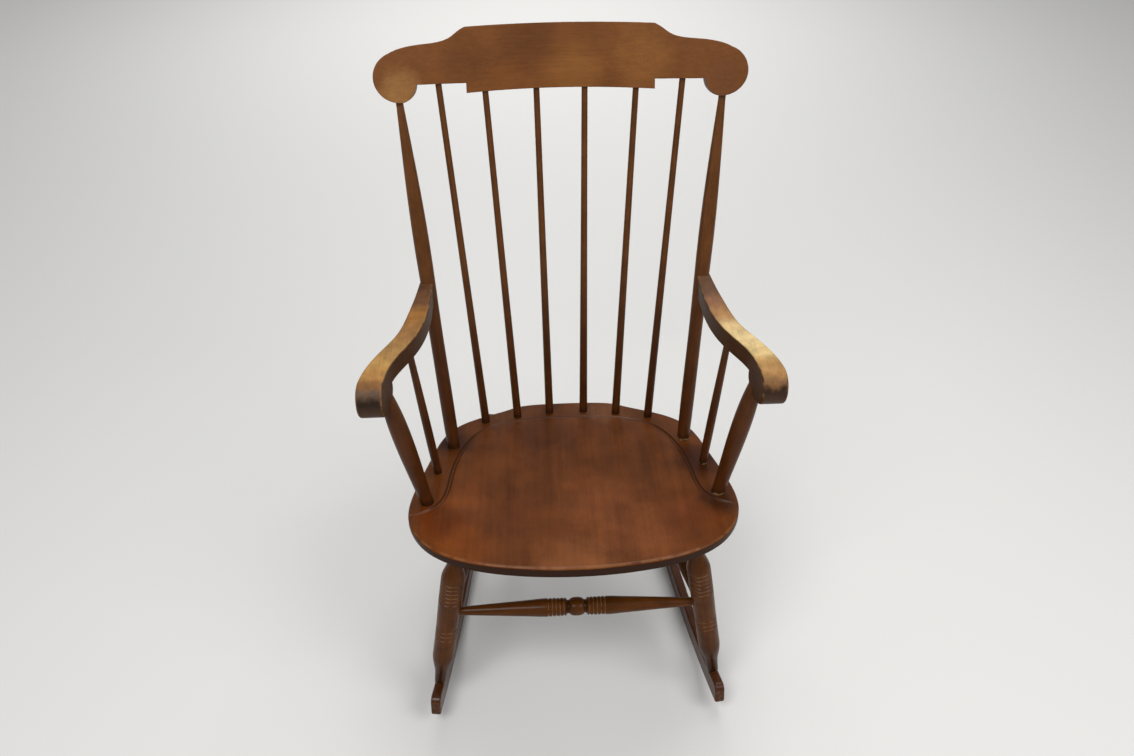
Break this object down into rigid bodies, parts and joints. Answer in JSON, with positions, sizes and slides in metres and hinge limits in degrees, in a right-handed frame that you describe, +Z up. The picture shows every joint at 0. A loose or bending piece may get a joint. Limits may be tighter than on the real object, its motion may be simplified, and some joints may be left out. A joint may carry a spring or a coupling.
{
  "type": "boston rocking chair",
  "caption": "Wooden Windsor-style rocking chair with a shaped, bent crest rail, a spindle back, scrolled arms, a saddled seat and ringed turned legs on curved runners.",
  "frame": {"origin": "on the floor under the middle of the chair's box, between the two runners", "axes": "+X towards the sitter's left, across the chair; +Y to the back; +Z up"},
  "size_m": [0.6376, 0.7202, 1.032],
  "materials": {
    "seat_wood": "satin lacquer, reddish brown, worn along the front edge",
    "crest_wood": "satin lacquer, warm brown, worn lighter along its edges",
    "stick_wood": "satin lacquer, dark reddish brown",
    "arm_wood": "worn bare to golden wood on top, dark at the hand end, brown at the sides",
    "leg_wood": "gloss lacquer, reddish brown",
    "runner_wood": "gloss lacquer, dark reddish brown, scuffed at the ends",
    "pin_wood": "satin lacquer, dark brown",
    "screw_steel": "plain zinc-coated steel"
  },
  "bodies": {
    "root": {"seat": "seat_wood", "crest_rail": "crest_wood", "back_post_left": "stick_wood", "back_post_right": "stick_wood", "back_spindle_1": "stick_wood", "back_spindle_2": "stick_wood", "back_spindle_3": "stick_wood", "back_spindle_4": "stick_wood", "back_spindle_5": "stick_wood", "back_spindle_6": "stick_wood", "arm_left": "arm_wood", "arm_right": "arm_wood", "arm_post_left": "stick_wood", "arm_post_right": "stick_wood", "arm_spindle_left": "stick_wood", "arm_spindle_right": "stick_wood", "front_leg_left": "leg_wood", "front_leg_right": "leg_wood", "rear_leg_left": "leg_wood", "rear_leg_right": "leg_wood", "front_stretcher": "leg_wood", "rear_stretcher": "leg_wood", "side_stretcher_left": "leg_wood", "side_stretcher_right": "leg_wood", "rocker_left": "runner_wood", "rocker_right": "runner_wood", "rocker_pins": "pin_wood", "crest_pins": "pin_wood", "arm_plugs": "pin_wood", "arm_screws": "screw_steel"}
  },
  "joints": []
}
